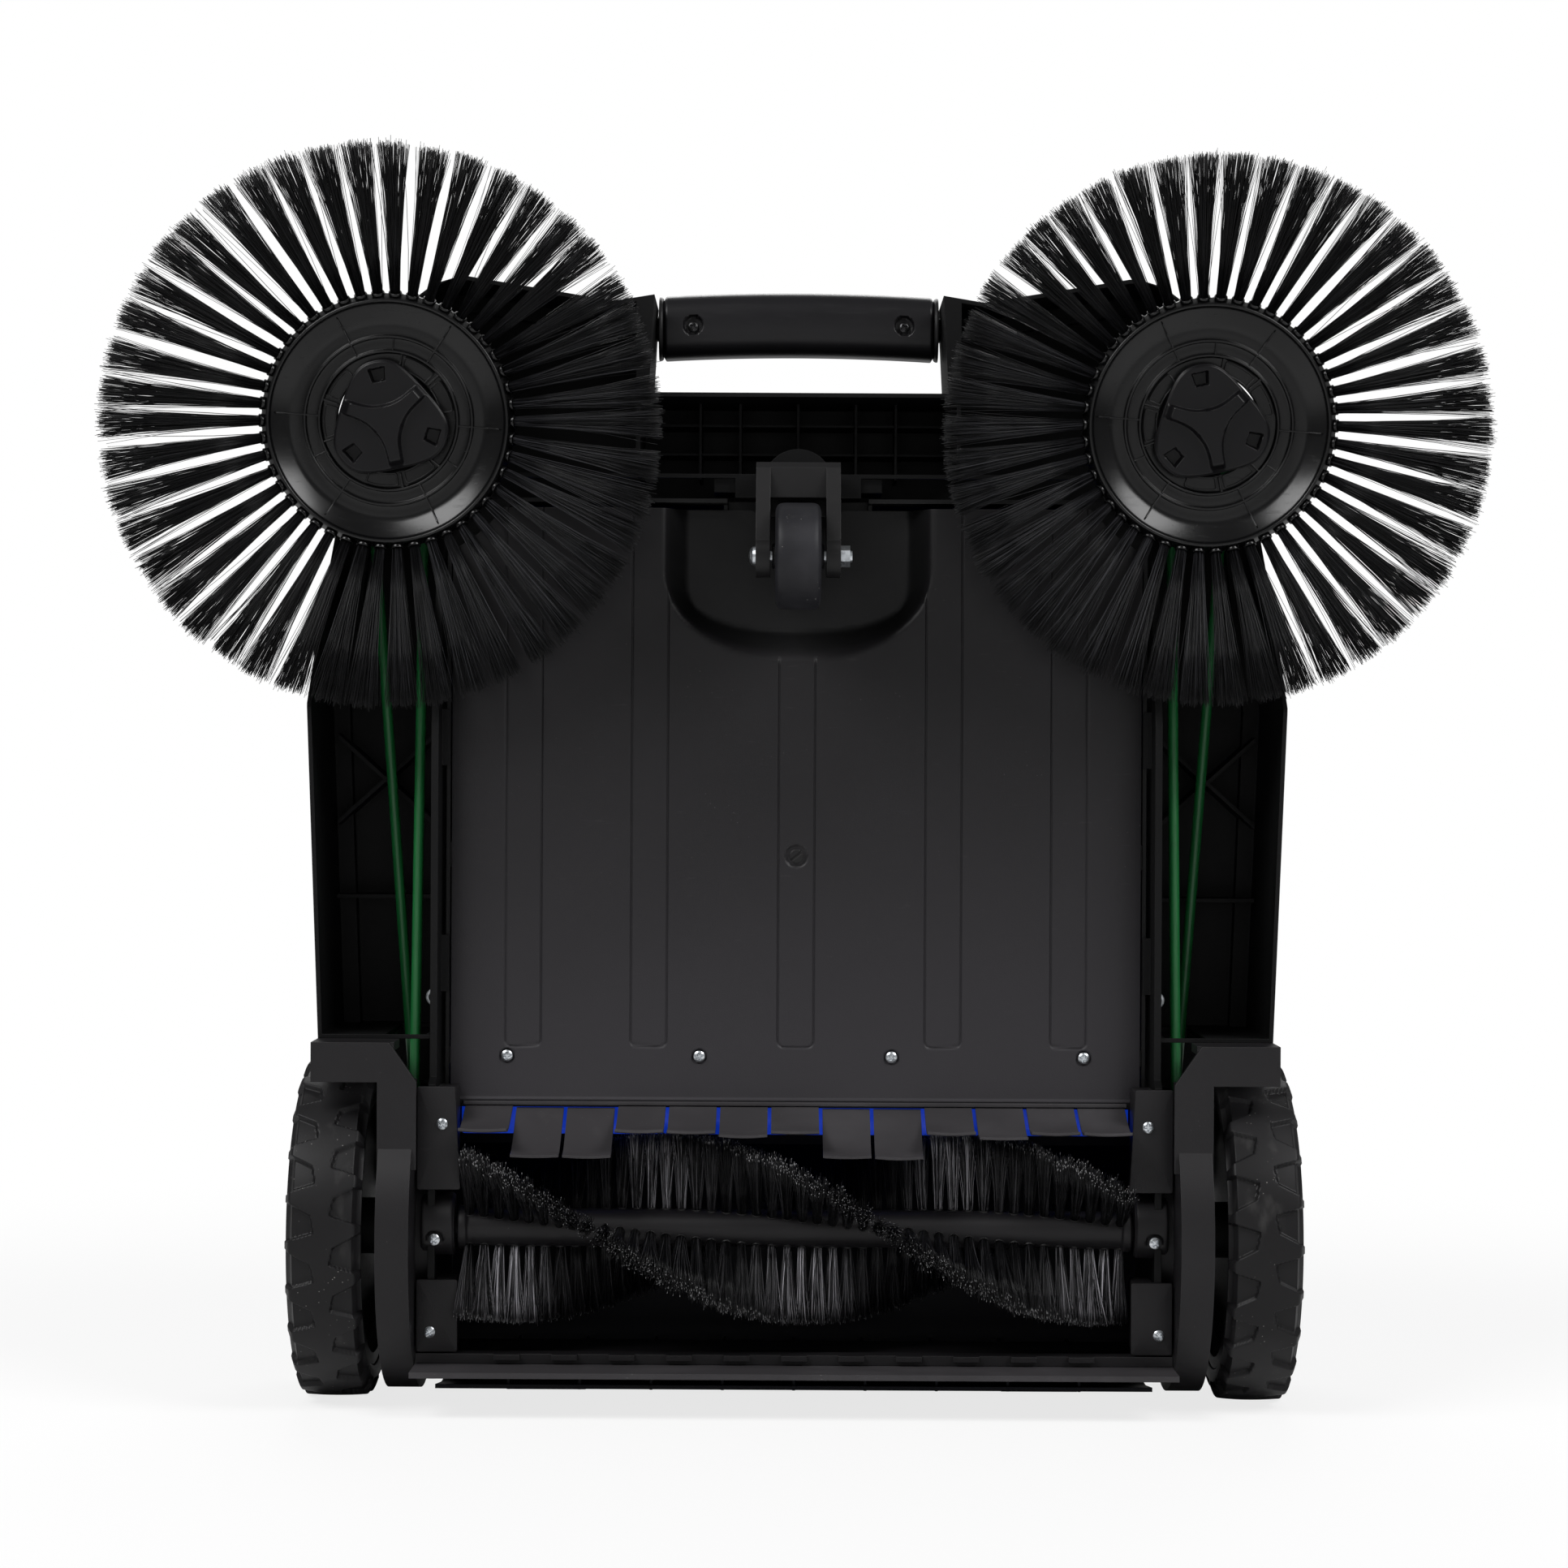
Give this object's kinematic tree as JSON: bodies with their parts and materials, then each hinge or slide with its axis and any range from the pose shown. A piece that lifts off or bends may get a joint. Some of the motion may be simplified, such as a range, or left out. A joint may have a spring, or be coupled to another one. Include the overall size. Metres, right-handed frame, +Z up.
{
  "type": "push sweeper",
  "caption": "Manual push sweeper with two disc side brushes, a helical roller, a lift-out hopper, a castor and a folding push bar, standing on its rear end.",
  "frame": {"origin": "middle of the part's footprint, on the surface that it stands on when parked on its rear end", "axes": "+Z up, which is forward when it sweeps; -Y towards the swept ground; +X along the wheel axles"},
  "size_m": [0.9716, 0.2672, 0.8815],
  "materials": {
    "black_plastic": "satin moulded polypropylene",
    "satin_grip_plastic": "smooth satin",
    "blue_plastic": "satin moulded polypropylene",
    "black_rubber": "matt",
    "tyre_rubber": "matt, moulded",
    "castor_rubber": "worn, dusty",
    "bristle": "fibres",
    "green_belt": "satin polyurethane",
    "zinc_steel": "bright zinc",
    "bar_paint": "powder coat",
    "foam": "closed-cell foam"
  },
  "bodies": {
    "chassis": {"centre_frame": "black_plastic", "side_fairing_left": "black_plastic", "side_fairing_right": "black_plastic", "front_frame": "black_plastic", "carry_grip": "satin_grip_plastic", "grip_screws": "zinc_steel", "rear_hood": "black_plastic", "roller_side_plates": "black_plastic", "roller_bearing_caps": "black_plastic", "chassis_screws": "zinc_steel", "wheel_guard_left": "black_plastic", "wheel_guard_right": "black_plastic", "wheel_axles": "zinc_steel", "rear_seal_holder": "black_plastic", "rear_seal_strip": "black_rubber", "castor_mount": "black_plastic", "brush_bearings": "black_plastic", "bar_brackets": "black_plastic", "pivot_knobs": "black_plastic", "parking_feet": "black_rubber", "drive_belt_left": "green_belt", "drive_belt_right": "green_belt", "flap_strip": "black_rubber"},
    "hopper": {"hopper_bin": "blue_plastic", "hopper_floor": "black_plastic", "hopper_handle": "black_plastic", "floor_screws": "zinc_steel", "floor_lock_screw": "black_plastic"},
    "wheel_left": {"wheel_rim_left": "black_plastic", "tyre_left": "tyre_rubber", "hub_cap_left": "black_plastic", "wheel_pulley_left": "black_plastic", "wheel_gear": "black_plastic"},
    "wheel_right": {"wheel_rim_right": "black_plastic", "tyre_right": "tyre_rubber", "hub_cap_right": "black_plastic", "wheel_pulley_right": "black_plastic"},
    "roller": {"roller_core": "black_plastic", "roller_bristles": "bristle", "roller_pinion": "black_plastic"},
    "side_brush_left": {"brush_disc_left": "black_plastic", "brush_bristles_left": "bristle", "brush_cap_left": "black_plastic", "brush_shaft_left": "zinc_steel", "brush_pulley_left": "black_plastic"},
    "side_brush_right": {"brush_disc_right": "black_plastic", "brush_bristles_right": "bristle", "brush_cap_right": "black_plastic", "brush_shaft_right": "zinc_steel", "brush_pulley_right": "black_plastic"},
    "castor": {"castor_fork": "black_plastic", "castor_pin": "black_plastic", "castor_bolt": "zinc_steel", "castor_nut": "zinc_steel"},
    "castor_roll": {"castor_wheel": "castor_rubber"},
    "lower_bar": {"lower_bar": "bar_paint", "hinge_knobs": "black_plastic"},
    "upper_bar": {"upper_bar": "bar_paint", "foam_grip": "foam"}
  },
  "joints": [
    {"name": "wheel_left_spin", "type": "hinge", "parent": "chassis", "child": "wheel_left", "pos_m": [-0.324, -0.0125, 0.12], "axis": [1, 0, 0], "continuous": true},
    {"name": "wheel_right_spin", "type": "hinge", "parent": "chassis", "child": "wheel_right", "pos_m": [0.324, -0.0125, 0.12], "axis": [1, 0, 0], "continuous": true},
    {"name": "roller_spin", "type": "hinge", "parent": "chassis", "child": "roller", "pos_m": [0, -0.06516, 0.126], "axis": [1, 0, 0], "continuous": true},
    {"name": "side_brush_left_spin", "type": "hinge", "parent": "chassis", "child": "side_brush_left", "pos_m": [-0.289, -0.0605, 0.692], "axis": [0, 0.9925, 0.1219], "continuous": true},
    {"name": "side_brush_right_spin", "type": "hinge", "parent": "chassis", "child": "side_brush_right", "pos_m": [0.289, -0.0605, 0.692], "axis": [0, 0.9925, 0.1219], "continuous": true},
    {"name": "castor_swivel", "type": "hinge", "parent": "chassis", "child": "castor", "pos_m": [0, -0.0425, 0.651], "axis": [0, 1, 0], "continuous": true},
    {"name": "castor_wheel_spin", "type": "hinge", "parent": "castor", "child": "castor_roll", "pos_m": [0, -0.0955, 0.596], "axis": [1, 0, 0], "continuous": true},
    {"name": "hopper_lift", "type": "slide", "parent": "chassis", "child": "hopper", "axis": [0, 1, 0], "range_m": [0, 0.2]},
    {"name": "push_bar_pivot", "type": "hinge", "parent": "chassis", "child": "lower_bar", "pos_m": [0, 0.0895, 0.15], "axis": [-1, 0, 0], "range_deg": [0, 125]},
    {"name": "push_bar_fold", "type": "hinge", "parent": "lower_bar", "child": "upper_bar", "pos_m": [0, 0.103, 0.69], "axis": [1, 0, 0], "range_deg": [0, 180]}
  ],
  "couplings": [
    {"joint": "roller_spin", "follows": "wheel_left_spin", "ratio": -1.9444},
    {"joint": "side_brush_left_spin", "follows": "wheel_left_spin", "ratio": 1.784},
    {"joint": "side_brush_right_spin", "follows": "wheel_right_spin", "ratio": -1.784}
  ]
}
